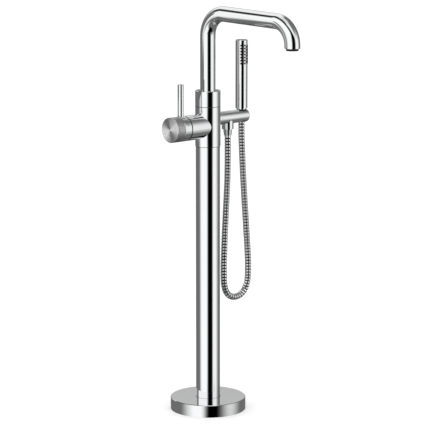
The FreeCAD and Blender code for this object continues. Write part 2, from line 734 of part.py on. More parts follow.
def handset():
    """Hand shower: drilled tube, nozzle strip, cap, stem, cone nut, and the hose's swivel end."""
    tube_top_z = handset_top_z - handset_cap_t
    shell = tube(handset_r, handset_bore_r, handset_bottom_z, tube_top_z)
    holes = [spoke(nozzle_hole_r, handset_bore_r - 2, handset_r + 2, height, angle)
             for height, angle in nozzle_grid()]
    shell = shell.cut(Part.makeCompound(holes))
    save("handset_tube", moved(shell, x=handset_x))

    strip_r = handset_bore_r - seat_fit
    strip_low = nozzle_first_z - strip_margin
    strip_high = nozzle_first_z + (nozzle_rows - 1) * nozzle_row_pitch + strip_margin
    strip = tube(strip_r, strip_r - 1.6, strip_low, strip_high)
    nozzles = [spoke(nozzle_r, strip_r - 0.8, handset_r + nozzle_stand_out, height, angle)
               for height, angle in nozzle_grid()]
    for nozzle in nozzles:
        strip = strip.fuse(nozzle)
    save("nozzle_strip", moved(strip, x=handset_x))

    plug_low = tube_top_z - 3
    cap = turned([
        (0, plug_low), (handset_bore_r - seat_fit, plug_low), (handset_bore_r - seat_fit, tube_top_z),
        (handset_r, tube_top_z), (handset_r, handset_top_z - 0.8), (handset_r - 0.8, handset_top_z),
        (0, handset_top_z),
    ])
    save("handset_cap", moved(cap, x=handset_x))

    neck_low = handset_bottom_z - handset_neck
    stem_low = neck_low - stem_length
    stem = turned([
        (ferrule_bore_r, stem_low), (stem_r, stem_low), (stem_r, neck_low),
        (handset_neck_d / 2, neck_low), (handset_neck_d / 2, handset_bottom_z),
        (handset_bore_r - seat_fit, handset_bottom_z),
        (handset_bore_r - seat_fit, handset_bottom_z + plug_into_tube),
        (ferrule_bore_r, handset_bottom_z + plug_into_tube),
    ])
    save("handset_stem", moved(stem, x=handset_x))

    nut_top = neck_low
    nut_low = nut_top - cone_nut_length
    lip_top = nut_low + cone_nut_lip
    chamber = stem_r + seat_fit
    nut = turned([
        (ferrule_neck_r + slide_fit, nut_low), (cone_nut_bottom_r, nut_low), (cone_nut_top_r, nut_top),
        (chamber, nut_top), (chamber, lip_top), (ferrule_neck_r + slide_fit, lip_top),
    ])
    save("cone_nut", moved(nut, x=handset_x))
    flange_low = lip_top + 0.1
    flange_top = flange_low + ferrule_flange_t
    ferrule = turned([
        (ferrule_bore_r, nut_low), (ferrule_neck_r, nut_low), (ferrule_neck_r, flange_low),
        (chamber - slide_fit, flange_low), (chamber - slide_fit, flange_top), (ferrule_bore_r, flange_top),
    ])
    save("swivel_ferrule", moved(ferrule, x=handset_x))
    washer_low = flange_top + 0.05
    washer_top = washer_low + washer_t
    save("handset_washer", tube(chamber - 0.2, ferrule_bore_r, washer_low, washer_top, x=handset_x))
    limiter = rod(chamber - 0.2, washer_top, stem_low)
    for hole in circled(rod(1.2, washer_top - 1, stem_low + 1, x=3), 6):
        limiter = limiter.cut(hole)
    save("flow_limiter", moved(limiter, x=handset_x))
    return nut_low


# ---- hose ---------------------------------------------------------------------------------------
def rounded_route(points):
    """Straight runs joined by tangent arcs; each radius follows the shorter run beside it."""
    edges = []
    radii = []
    at = points[0]
    for before, corner, after in zip(points, points[1:], points[2:]):
        back = before - corner
        ahead = after - corner
        half_turn = (math.pi - back.getAngle(ahead)) / 2
        step = 0.45 * min(back.Length, ahead.Length)
        radius = step / math.tan(half_turn)
        start = corner + back.normalize() * step
        finish = corner + ahead.normalize() * step
        to_centre = (back + ahead).normalize()
        middle = corner + to_centre * (radius / math.cos(half_turn) - radius)
        edges.append(Part.LineSegment(at, start).toShape())
        edges.append(Part.Arc(start, middle, finish).toShape())
        radii.append(radius)
        at = finish
    edges.append(Part.LineSegment(at, points[-1]).toShape())
    return edges, radii


def hose(top_left_z, top_right_z):
    """Ribbed hose with its bore, from the outlet's ferrule down and up to the handset's."""
    points = [Vector(outlet_x, 0, top_left_z)]
    points += [Vector(x, 0, z) for x, z in hose_route]
    points += [Vector(handset_x, 0, hose_last_bend_z), Vector(handset_x, 0, top_right_z)]
    edges, radii = rounded_route(points)
    length = sum(edge.Length for edge in edges)
    ends = hose_d
    ribs = round((length - 2 * ends) / hose_rib_pitch)
    pitch = (length - 2 * ends) / ribs
    crest = hose_d / 2
    valley = crest - hose_rib_depth

    def station(distance):
        for edge in edges:
            if distance <= edge.Length or edge is edges[-1]:
                at = edge.FirstParameter + (edge.LastParameter - edge.FirstParameter) * (
                    min(distance, edge.Length) / edge.Length)
                return edge.valueAt(at), edge.tangentAt(at)
            distance -= edge.Length

    def ring(distance, radius):
        centre, ahead = station(distance)
        side = Vector(0, 1, 0)
        up = ahead.cross(side)
        circle = Part.Circle(centre, ahead, radius)
        circle.XAxis = side
        return Part.Wire(circle.toShape())

    rings = [ring(0, crest), ring(ends, crest)]
    for rib in range(ribs):
        start = ends + rib * pitch
        rings.append(ring(start + rib_flank * pitch, valley))
        rings.append(ring(start + (1 - rib_crest - rib_flank) * pitch, valley))
        rings.append(ring(start + (1 - rib_crest) * pitch, crest))
        rings.append(ring(start + pitch, crest))
    rings.append(ring(length, crest))
    outside = Part.makeLoft(rings, True, True)
    line = Part.Wire(edges)
    bore_circle = Part.makeCircle(hose_bore_r, points[0], Vector(0, 0, -1))
    bore = line.makePipeShell([Part.Wire(bore_circle)], True, False)
    solid = outside.cut(bore)
    save("shower_hose", solid)

    flank = (crest ** 2 + crest * valley + valley ** 2) / 3
    share = 2 * rib_flank
    mean_square = (1 - rib_crest - share) * valley ** 2 + rib_crest * crest ** 2 + share * flank
    section = math.pi * (mean_square - hose_bore_r ** 2) * (length - 2 * ends)
    section += math.pi * (crest ** 2 - hose_bore_r ** 2) * 2 * ends
    print("hose length", round(length, 1), "ribs", ribs)
    print("hose volume", round(solid.Volume), "section times length", round(section))
    print("hose bend radii", [round(radius, 1) for radius in radii])


floor_fixing()
supply()
valve_body()
mixer()
flow_knob()
spout()
holder_arm()
hose_top_left_z = outlet_nut()
hose_top_right_z = handset()
hose(hose_top_left_z, hose_top_right_z)
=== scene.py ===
# %% [markdown]
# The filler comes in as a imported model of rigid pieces, each at its real size and place.  This
# file never moves them.  It gives each one its finish, and rebuilds six of them as finer
# surfaces: the hose, the knob's grip and its end face, the spray nozzles, the spout and the
# aerator's rim.  Then it sets up the studio that polished metal needs in order to look like
# metal.

# %% Load the frame
import json
import math

import bpy
import numpy as np
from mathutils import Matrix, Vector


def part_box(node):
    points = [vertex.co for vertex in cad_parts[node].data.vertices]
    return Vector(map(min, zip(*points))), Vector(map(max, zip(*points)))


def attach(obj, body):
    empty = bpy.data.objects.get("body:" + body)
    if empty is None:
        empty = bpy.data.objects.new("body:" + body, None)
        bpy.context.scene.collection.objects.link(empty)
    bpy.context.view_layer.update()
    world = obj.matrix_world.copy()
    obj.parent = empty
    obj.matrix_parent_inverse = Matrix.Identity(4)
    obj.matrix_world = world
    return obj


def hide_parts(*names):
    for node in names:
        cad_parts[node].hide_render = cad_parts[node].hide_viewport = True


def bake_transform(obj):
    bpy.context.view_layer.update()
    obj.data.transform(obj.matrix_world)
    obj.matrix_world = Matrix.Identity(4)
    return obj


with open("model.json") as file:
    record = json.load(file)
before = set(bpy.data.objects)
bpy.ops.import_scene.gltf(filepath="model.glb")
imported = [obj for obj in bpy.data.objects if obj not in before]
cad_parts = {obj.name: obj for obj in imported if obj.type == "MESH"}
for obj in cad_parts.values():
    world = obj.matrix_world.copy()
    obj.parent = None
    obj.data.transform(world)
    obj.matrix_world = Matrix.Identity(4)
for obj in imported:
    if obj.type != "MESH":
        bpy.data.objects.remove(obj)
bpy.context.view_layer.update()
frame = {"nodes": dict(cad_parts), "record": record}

nodes = frame["nodes"]

# %% [markdown]
# The camera comes first, because everything is judged through it.  The photograph is a
# long-lens product shot, taken from the front left and a little above the valve.  A long lens
# keeps the pillar's sides almost parallel, so the camera stands more than four metres away.

# %% Camera
camera_place = (-2.88864, -3.17457, 1.2107)
camera_heading = 47.505       # degrees from +X towards +Y, seen from above
camera_tilt = 10.55           # degrees below the horizon
lens_mm = 176.919
sensor_mm = 36.0


def make_camera():
    """Camera at the photograph's place; Blender's camera looks along its own -Z with +Y up."""
    data = bpy.data.cameras.new("camera")
    data.lens = lens_mm
    data.sensor_width = sensor_mm
    data.clip_end = 100.0
    camera = bpy.data.objects.new("camera", data)
    camera.location = camera_place
    camera.rotation_euler = (math.radians(90 - camera_tilt), 0, math.radians(camera_heading - 90))
    bpy.context.scene.collection.objects.link(camera)
    bpy.context.scene.camera = camera
    return camera


camera = make_camera()
print("camera at", [round(x, 2) for x in camera.location], "lens", lens_mm, "mm")

# %% [markdown]
# The hose is a cord of known length, so its route is settled before its looks.  The points
# below are the corners that the hose passes near, in the plane of the holder arm.  A spline of
# order three smooths them into one line, and Blender hands that line back as many short edges.

# %% Route of the hose
hose_diameter = 0.013
hose_corners = [
    (0.0558, 0.536), (0.0548, 0.476), (0.0495, 0.400), (0.0459, 0.336), (0.0442, 0.292),
    (0.0454, 0.2475), (0.0642, 0.2268), (0.0928, 0.2270), (0.1130, 0.2476), (0.1151, 0.292),
    (0.1106, 0.350), (0.1049, 0.416), (0.0996, 0.480), (0.0960, 0.538), (0.0942, 0.570),
]
outlet_x = 0.0554
handset_x = 0.0942
hose_start_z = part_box("hose_nut")[0].z
hose_end_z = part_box("cone_nut")[0].z


def smooth_line(points):
    """Points along a NURBS line of order three, with the given points as its corners."""
    curve = bpy.data.curves.new("route", "CURVE")
    curve.dimensions = "3D"
    curve.resolution_u = 32
    spline = curve.splines.new("NURBS")
    spline.points.add(len(points) - 1)
    for place, point in zip(spline.points, points):
        place.co = (*point, 1.0)
    spline.order_u = 3
    spline.use_endpoint_u = True
    route = bpy.data.objects.new("route", curve)
    mesh = bpy.data.meshes.new_from_object(route)
    line = np.array([vertex.co for vertex in mesh.vertices])
    bpy.data.objects.remove(route)
    bpy.data.meshes.remove(mesh)
    bpy.data.curves.remove(curve)
    return line


hose_corners = [(outlet_x, hose_start_z), *hose_corners, (handset_x, hose_end_z)]
hose_line = smooth_line([(x, 0.0, z) for x, z in hose_corners])
line_length = np.linalg.norm(np.diff(hose_line, axis=0), axis=1).sum()
print("hose line:", len(hose_line), "points,", round(line_length * 1000, 1), "mm")

# %% [markdown]
# Every new surface in this file is a grid of points worked out by numpy, and one helper turns
# such a grid into a mesh.  Rows run along the piece and columns run round it.  The helper
# closes the columns into a tube, and it either closes the rows as well, as on a ring, or shuts
# each end with a fan.  It takes several grids of one size at once, because the nozzles are many
# copies of one small form.

# %% Grid of points to mesh
def mesh_from_grids(name, grids, ring=False):
    """One mesh from points[copy, row, column]; columns wrap round, and rows too on a ring."""
    copies, rows, columns, _ = grids.shape
    index = np.arange(rows * columns).reshape(rows, columns)
    points = grids.reshape(copies, -1, 3)
    fans = np.empty((0, 3), int)
    if ring:
        index = np.vstack([index, index[:1]])
    else:
        poles = [grids[:, at].mean(axis=1, keepdims=True) for at in (0, -1)]
        points = np.concatenate([points, *poles], axis=1)
        low, high = rows * columns, rows * columns + 1
        fans = [np.stack([np.full(columns, low), np.roll(index[0], -1), index[0]], axis=1),
                np.stack([np.full(columns, high), index[-1], np.roll(index[-1], -1)], axis=1)]
        fans = np.concatenate(fans)
    here, ahead = index[:-1], index[1:]
    quads = np.stack([here, np.roll(here, -1, 1), np.roll(ahead, -1, 1), ahead], axis=-1)
    quads = quads.reshape(-1, 4)
    offset = np.arange(copies)[:, None, None] * points.shape[1]
    faces = (quads + offset).reshape(-1, 4).tolist() + (fans + offset).reshape(-1, 3).tolist()
    mesh = bpy.data.meshes.new(name)
    mesh.from_pydata(points.reshape(-1, 3).tolist(), [], faces)
    mesh.polygons.foreach_set("use_smooth", np.ones(len(faces), bool))
    piece = bpy.data.objects.new(name, mesh)
    bpy.context.scene.collection.objects.link(piece)
    return piece


def mesh_from_grid(name, grid, ring=False):
    """Mesh from one grid, points[row, column]."""
    return mesh_from_grids(name, grid[None], ring)


def point_attribute(piece, name, values):
    """Store one number per vertex, for a material to read; the poles of closed ends get zero."""
    padded = np.zeros(len(piece.data.vertices), np.float32)
    padded[: len(values)] = values
    piece.data.attributes.new(name, "FLOAT", "POINT").data.foreach_set("value", padded)


print("grids of points can become meshes")

# %% [markdown]
# A shower hose of this kind is a strip of chromed metal, folded and wound so that each turn
# hooks into the next.  What the eye sees is a row of short rounded beads with dark narrow
# grooves between them.  The beads are made by a radius that swells and drops along the line,
# which gives the real shadows and the real small highlights that a picture of ribs would not.

# %% Ribs of the hose
rib_pitch = 0.00635
groove_depth = 0.0012
groove_share = 0.44           # share of the pitch taken by the groove and its two sides
side_share = 0.05             # share of the pitch taken by each side
bead_swell = 0.0003           # how far the beads stand out over the hose's nominal size
bead_crown = 0.00004          # how far each bead is domed
plain_end = 0.003             # smooth crimped sleeve at each end
rib_count = round((line_length - 2 * plain_end) / rib_pitch)


def ribbed_radius(distances):
    """Radius along the hose: low domed beads, and a groove at each pitch with cosine sides."""
    ribbed_length = line_length - 2 * plain_end
    phase = (distances - plain_end) / ribbed_length * rib_count % 1.0
    off_groove = np.abs(phase - 0.5) * 2              # 0 in the groove's middle, 1 on the bead
    up_side = np.clip((off_groove - groove_share) / (2 * side_share) + 1, 0, 1)
    groove = 0.5 + 0.5 * np.cos(math.pi * up_side)    # 1 in the groove, 0 on the bead
    dome = ((1 - off_groove) / (1 - groove_share)) ** 2 * (1 - groove)
    inside = (distances > plain_end) & (distances < line_length - plain_end)
    radius = hose_diameter / 2 + inside * (bead_swell - groove_depth * groove - bead_crown * dome)
    return radius, groove * inside


print("hose:", rib_count, "ribs")

# %% [markdown]
# The ribs are then carried along the route.  Each ring of points stands square to the line, and
# one of its two directions is always Y, because the hose hangs in a plane.  So the rings never
# twist against each other.  The tube replaces the imported hose.

# %% Hose surface
rib_rings = 20                # rings of points in one rib
hose_columns = 36


def along(line, distances):
    """Centres and unit directions at the given distances along a line of points."""
    steps = np.linalg.norm(np.diff(line, axis=0), axis=1)
    reach = np.concatenate([[0.0], np.cumsum(steps)])
    centres = np.stack([np.interp(distances, reach, line[:, axis]) for axis in range(3)], axis=1)
    ahead = np.gradient(centres, distances, axis=0)
    return centres, ahead / np.linalg.norm(ahead, axis=1, keepdims=True)


def make_hose():
    """Tube round the route: centre + radius * (side * cos + up * sin), with side along Y."""
    distances = np.linspace(0, line_length, rib_count * rib_rings + 1)
    centres, ahead = along(hose_line, distances)
    side = np.array([0.0, 1.0, 0.0])
    up = np.cross(ahead, side)
    radius, groove = ribbed_radius(distances)
    turn = np.linspace(0, 2 * math.pi, hose_columns, endpoint=False)
    cos, sin = np.cos(turn)[None, :, None], np.sin(turn)[None, :, None]
    around = side[None, None] * cos + up[:, None] * sin
    hose = mesh_from_grid("ribbed_hose", centres[:, None] + radius[:, None, None] * around)
    point_attribute(hose, "groove", np.repeat(groove, hose_columns))
    print("hose:", len(distances), "rings of", hose_columns, "points")
    return hose


hose = make_hose()
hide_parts("shower_hose")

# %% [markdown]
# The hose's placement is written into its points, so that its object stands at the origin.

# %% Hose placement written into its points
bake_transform(hose)

# %% [markdown]
# The knob's grip is knurled.  Two families of fine V grooves run round it in opposite helices,
# and what is left between them are small flat-topped diamonds.  From a step away they melt into
# one even grey, because each diamond sends the light another way.

# %% Knurled grip
knurl_count = 120             # diamonds round the grip
knurl_cut = 0.00034
knurl_samples = 5             # points across one diamond, each way
knurl_flat = 0.35             # share of a diamond that stays at full height
knurl_bore_gap = 0.00003


def triangle_wave(value):
    """0 at whole numbers, 1 half way between them."""
    return 1 - np.abs(value % 1.0 * 2 - 1)


def barrel_axis(node):
    """Height and depth of the barrel's axis, and the radius of a node that is centred on it."""
    low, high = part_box(node)
    return (low.y + high.y) / 2, (low.z + high.z) / 2, (high.z - low.z) / 2


def about_barrel(x, radius, turn, axis_y, axis_z):
    """Points at x, at the given radius and turn about the barrel's axis."""
    y = axis_y + radius * np.cos(turn)
    z = axis_z + radius * np.sin(turn)
    return np.stack([np.broadcast_to(x[:, None], y.shape), y, z], axis=-1)


def make_knurl():
    """Sleeve about the barrel: radius less a cut that grows towards either helix of grooves."""
    low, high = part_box("knurled_grip")
    axis_y, axis_z, outer = barrel_axis("knurled_grip")
    bore = barrel_axis("knob_hub")[2] + knurl_bore_gap
    pitch = 2 * math.pi * outer / knurl_count
    x = np.linspace(low.x, high.x, round((high.x - low.x) / pitch * knurl_samples))
    turn = np.linspace(0, 2 * math.pi, knurl_count * knurl_samples, endpoint=False)
    across = turn[None, :] / (2 * math.pi) * knurl_count
    along_axis = (x[:, None] - low.x) / pitch
    ridge = np.minimum(triangle_wave(across + along_axis), triangle_wave(across - along_axis))
    cut = 1 - np.clip(ridge / (1 - knurl_flat), 0, 1)
    rim = np.full((1, len(turn)), outer - knurl_cut)
    hollow = np.full((1, len(turn)), bore)
    radius = np.vstack([hollow, rim, outer - knurl_cut * cut, rim, hollow])
    x = np.concatenate([[x[0], x[0]], x, [x[-1], x[-1]]])
    grid = about_barrel(x, radius, turn, axis_y, axis_z)
    piece = mesh_from_grid("knurl_sleeve", grid, ring=True)
    plain = np.ones((2, len(turn)))
    point_attribute(piece, "cut", np.vstack([plain, cut, plain]).ravel())
    print("knurl:", knurl_count, "diamonds round,", len(piece.data.polygons), "faces")
    return piece


knurl = make_knurl()
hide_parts("knurled_grip")
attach(knurl, "knob")

# %% [markdown]
# The face of the knob is spun: a tool has left hundreds of fine rings about its centre.  A
# ringed face is what gives the bright fans that run from the centre to the rim and seem to turn
# with the light, since each ring spreads the reflection outwards and inwards only.  The rings
# here are real, a little coarser than on the metal, so that the fans come partly from the shape.
# The rest of their contrast is painted highlight and painted shade in the disc's colour.

# %% Spun end face
ring_pitch = 0.0006
ring_depth = 0.00009
ring_samples = 6              # points across one ring
disc_columns = 120
disc_edge = 0.00025           # polished chamfer


def make_end_disc():
    """Disc about the barrel's axis, from a profile whose front is a row of parabolas."""
    low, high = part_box("knob_end_disc")
    axis_y, axis_z, outer = barrel_axis("knob_end_disc")
    face = np.arange(ring_pitch / ring_samples, outer - disc_edge, ring_pitch / ring_samples)
    across_ring = face / ring_pitch % 1.0 * 2 - 1     # -1 and 1 on the ridges, 0 in the hollow
    dip = ring_depth * (1 - across_ring ** 2)
    profile = np.concatenate([
        np.stack([low.x + dip, face], axis=1),
        [(low.x, outer - disc_edge), (low.x + disc_edge, outer),
         (high.x, outer), (high.x, disc_edge)],
    ])
    turn = np.linspace(0, 2 * math.pi, disc_columns, endpoint=False)[None, :]
    radius = np.broadcast_to(profile[:, 1:], (len(profile), disc_columns))
    grid = about_barrel(profile[:, 0], radius, turn, axis_y, axis_z)
    piece = mesh_from_grid("spun_end_disc", grid)
    print("end disc:", len(face) // ring_samples, "rings")
    return piece


end_disc = make_end_disc()
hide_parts("knob_end_disc")
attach(end_disc, "knob")

# %% [markdown]
# The hand shower sprays through soft nozzles, so that lime can be rubbed off with a thumb.
# Each is a small rubbery dome with a wider foot, pressed out through its hole in the tube.  All
# of them share one outline, turned about a line that points straight out of the tube, at
# staggered places.

# %% Spray nozzles
nozzle_rows = 13
nozzle_first_z = 0.7195
nozzle_row_pitch = 0.0031
nozzle_turns = (-47.5, -9.5, 28.5)                # degrees from the front, mirrored on odd rows
nozzle_sides = 14
# distance from the nozzle's own line, and height over the tube's surface, both in millimetres
nozzle_outline = [(1.2, -1.5), (1.2, -0.4), (2.0, -0.3), (2.05, 0.1), (1.95, 0.4), (1.5, 0.55),
                  (1.35, 0.85), (1.0, 0.98), (0.5, 1.02)]


def make_nozzles():
    """Each is foot + out * height + distance * (side * cos + up * sin), out being radial."""
    low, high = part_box("handset_tube")
    tube_radius = (high.y - low.y) / 2
    row, place = np.meshgrid(np.arange(nozzle_rows), np.arange(len(nozzle_turns)), indexing="ij")
    turn = np.radians(np.array(nozzle_turns))[place] * np.where(row % 2 == 0, 1, -1)
    turn, row = turn.ravel(), row.ravel()
    out = np.stack([np.sin(turn), -np.cos(turn), 0 * turn], axis=1)
    side = np.stack([np.cos(turn), np.sin(turn), 0 * turn], axis=1)
    up = np.array([0.0, 0.0, 1.0])
    foot = np.array([handset_x, 0, 0]) + up * (nozzle_first_z + row * nozzle_row_pitch)[:, None]
    distance, height = np.array(nozzle_outline).T / 1000
    around = np.linspace(0, 2 * math.pi, nozzle_sides, endpoint=False)
    cos, sin = np.cos(around)[None, :, None], np.sin(around)[None, :, None]
    sweep = side[:, None] * cos + up * sin
    axis = foot[:, None] + out[:, None] * (tube_radius + height)[None, :, None]
    grids = axis[:, :, None] + distance[None, :, None, None] * sweep[:, None]
    nozzles = mesh_from_grids("spray_nozzles", grids)
    print("nozzles:", len(grids), "of", len(nozzles.data.polygons) // len(grids), "faces each")
    return nozzles


nozzles = make_nozzles()
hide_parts("nozzle_strip")
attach(nozzles, "handset")

# %% [markdown]
# The spout is one bent tube, and a mirror shows up every flat of a mesh.  So it is swept again
# here with far more rings, along the same centre line: a riser, a bend, a run that falls a
# little, and a second bend.  The end of the tube is rounded over.

# %% Spout
spout_bends = (0.0476, 0.0456)    # radii of the two bends
spout_fall = math.radians(1.5)
spout_reach = 0.2448
spout_run_z = 0.8294              # height of the centre line where the first bend ends
spout_straight = 0.0052           # straight end below the second bend
spout_wall = 0.0016
spout_round = 0.0012              # rounding of the outlet's edge
spout_round_turns = (15, 30, 45, 60, 75, 90)      # degrees round it at which a ring of points lies
spout_step = 0.0015               # distance between two rings of points
spout_columns = 96
bore_share = 4                    # the bore has one ring for so many outside


def spout_line():
    """Distances, angles and centres; angles grow evenly in a bend, centres are a running sum."""
    first, second = spout_bends
    turn = math.pi / 2 + spout_fall
    start_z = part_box("spout_tube")[0].z
    rise = spout_run_z - first * math.sin(turn) - start_z
    bends_reach = first * (1 - math.cos(turn)) + second * (1 + math.cos(turn))
    run = (spout_reach - bends_reach) / math.cos(spout_fall)
    knots = np.cumsum([0, rise, first * turn, run, second * (math.pi - turn), spout_straight])
    rounding = spout_round * (1 - np.sin(np.radians(spout_round_turns)))
    evenly = np.linspace(0, knots[-1] - spout_round, round(knots[-1] / spout_step))
    distances = np.concatenate([evenly, knots[-1] - rounding])
    angle = np.interp(distances, knots, [0, 0, turn, turn, math.pi, math.pi])
    steps = np.diff(distances)
    middle = (angle[1:] + angle[:-1]) / 2
    y = -np.concatenate([[0], np.cumsum(np.sin(middle) * steps)])
    z = start_z + np.concatenate([[0], np.cumsum(np.cos(middle) * steps)])
    return distances, angle, np.stack([0 * y, y, z], axis=1)


def ring_of(centres, angle, radius):
    """Rings of points: centre + radius * (across * cos + outwards * sin), across along X."""
    turn = np.linspace(0, 2 * math.pi, spout_columns, endpoint=False)
    across = np.array([1.0, 0.0, 0.0])
    outwards = np.stack([0 * angle, np.cos(angle), np.sin(angle)], axis=1)
    cos, sin = np.cos(turn)[None, :, None], np.sin(turn)[None, :, None]
    return centres[:, None] + radius[:, None, None] * (across * cos + outwards[:, None] * sin)


def make_spout():
    """Outer rings down to the outlet, rounded by a quarter circle, and the bore's rings back."""
    low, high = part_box("spout_tube")
    outer = (high.x - low.x) / 2
    distances, angle, centres = spout_line()
    past = np.clip(distances - (distances[-1] - spout_round), 0, None)
    radius = outer - spout_round + np.sqrt(np.clip(spout_round ** 2 - past ** 2, 0, None))
    outside = ring_of(centres, angle, radius)
    back = slice(None, None, -bore_share)
    inside = ring_of(centres[back], angle[back], np.full(len(angle[back]), outer - spout_wall))
    spout = mesh_from_grid("smooth_spout", np.concatenate([outside, inside]), ring=True)
    print("spout:", len(distances), "rings, ends at z", round(centres[-1][2], 4))
    return spout


spout = make_spout()
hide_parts("spout_tube")
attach(spout, "spout")

# %% [markdown]
# Below the end of the spout stands the rim of the aerator, the insert that mixes air into the
# water.  It is a plain black ring that is turned about the outlet's upright line: a narrow lip
# that shows, and above it the wider part that sits in the tube.

# %% Aerator rim
lip_radius = 0.0123
lip_wall = 0.0012
lip_low, lip_high = 0.0005, 0.0050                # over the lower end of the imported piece


def make_aerator_rim():
    """Ring about the outlet's line, turned from its corners, each a radius and a height."""
    low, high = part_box("aerator_shell")
    shell_radius, top = (high.x - low.x) / 2, high.z - low.z
    bore = lip_radius - lip_wall
    corners = np.array([(bore, lip_low), (lip_radius, lip_low), (lip_radius, lip_high),
                        (shell_radius, lip_high), (shell_radius, top), (bore, top)])
    centres = np.zeros((len(corners), 3)) + [(low.x + high.x) / 2, (low.y + high.y) / 2, low.z]
    centres[:, 2] += corners[:, 1]
    upright = np.zeros(len(corners))
    rim = mesh_from_grid("aerator_rim", ring_of(centres, upright, corners[:, 0]), ring=True)
    print("aerator rim:", round((lip_high - lip_low) * 1000, 1), "mm of lip")
    return rim


aerator_rim = make_aerator_rim()
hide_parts("aerator_shell")
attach(aerator_rim, "spout")

# %% [markdown]
# Materials are written as sums.  A small class wraps one output of a node, so that adding or
# multiplying two of them adds the Math node that does it.  Its two named methods are the soft
# steps that every mask in this file is made of.

# %% Shader sums
class Value:
    """One number that varies over a surface or a sky; its operators add Math nodes."""

    def __init__(self, graph, socket):
        self.graph = graph
        self.socket = socket

    def combine(self, operation, first, second):
        """One Math node; first and second are values or plain numbers."""
        return self.graph.node("ShaderNodeMath", {"operation": operation}, {0: first, 1: second})

    def __add__(self, other):
        return self.combine("ADD", self, other)

    __radd__ = __add__

    def __sub__(self, other):
        return self.combine("SUBTRACT", self, other)

    def __rsub__(self, other):
        return self.combine("SUBTRACT", other, self)

    def __mul__(self, other):
        return self.combine("MULTIPLY", self, other)

    __rmul__ = __mul__

    def __truediv__(self, other):
        return self.combine("DIVIDE", self, other)

    def rise(self, edge, soft):
        """0 below the edge and 1 above it, with a smooth step as wide as soft; both may vary."""
        return self.graph.node("ShaderNodeMapRange", {"interpolation_type": "SMOOTHSTEP"}, {
            "Value": self, "From Min": edge - soft / 2, "From Max": edge + soft / 2})

    def between(self, low, high, soft_low, soft_high):
        """1 between two edges and 0 outside them, each with a width of its own."""
        return self.rise(low, soft_low) * (1 - self.rise(high, soft_high))


print("shader sums are ready")

# %% [markdown]
# Any other node comes from one method that takes the node's type, its settings and its sockets.
# The settings go in first, because some of them change which sockets the node has.  Noise gets a
# method of its own, since most finishes start from it.

# %% Node trees
class Graph:
    """A node tree that is emptied and then filled through one method."""

    def __init__(self, owner):
        owner.use_nodes = True
        self.tree = owner.node_tree
        self.tree.nodes.clear()

    def node(self, kind, settings=None, sockets=None, output=0):
        """Add a node: type, settings, then values or links of its sockets; returns one output."""
        node = self.tree.nodes.new(kind)
        for name, setting in (settings or {}).items():
            if name == "stops":
                self.fill_ramp(node.color_ramp.elements, setting)
            else:
                setattr(node, name, setting)
        for name, source in (sockets or {}).items():
            if isinstance(source, Value):
                self.tree.links.new(source.socket, node.inputs[name])
            else:
                node.inputs[name].default_value = source
        return Value(self, node.outputs[output]) if len(node.outputs) else None

    def fill_ramp(self, elements, stops):
        """Colour ramp of two stops, each a place and a colour."""
        for element, (place, colour) in zip(elements, stops):
            element.position = place
            element.color = (*colour, 1.0)

    def noise(self, scale, detail=2.0, stretch=None):
        """Noise on Object coordinates, drawn out along an axis where stretch says so."""
        place = self.node("ShaderNodeTexCoord", output="Object")
        if stretch:
            place = self.node("ShaderNodeMapping", None, {"Vector": place, "Scale": stretch})
        return self.node("ShaderNodeTexNoise", None, {
            "Vector": place, "Scale": scale, "Detail": detail})


print("node trees are ready")

# %% [markdown]
# Polished metal is a mirror, so its look is the room around it.  Around this filler stand a tall
# soft panel to the left of the camera and another to the right, with a black gap between them.
# White paper hangs behind, a dark arch runs over the left panel, and above the arch the ceiling
# is pale.  The gap and the arch are what draw the dark lines along the pillar and round the
# spout's bend.
#
# Lamps and real panels would do this too, but they would also light the matt parts and throw
# shadows.  So the room is painted on the sky in two angles: how far round from the camera, and
# how high.  The panels' edges grow softer towards the floor, where they are further off.

# %% Painted room
studio_turn = 180 - camera_heading                # brings the camera's side to angle zero
dark_corner = 0.165
sink_from, sink_to = -15.3, -15.6                 # heights between which the edges grow softer
lift_from, lift_to = 4, 10                        # heights between which the left panel widens
arch_side, arch_fall = -62, 0.0047                # where the arch is highest, and how it falls


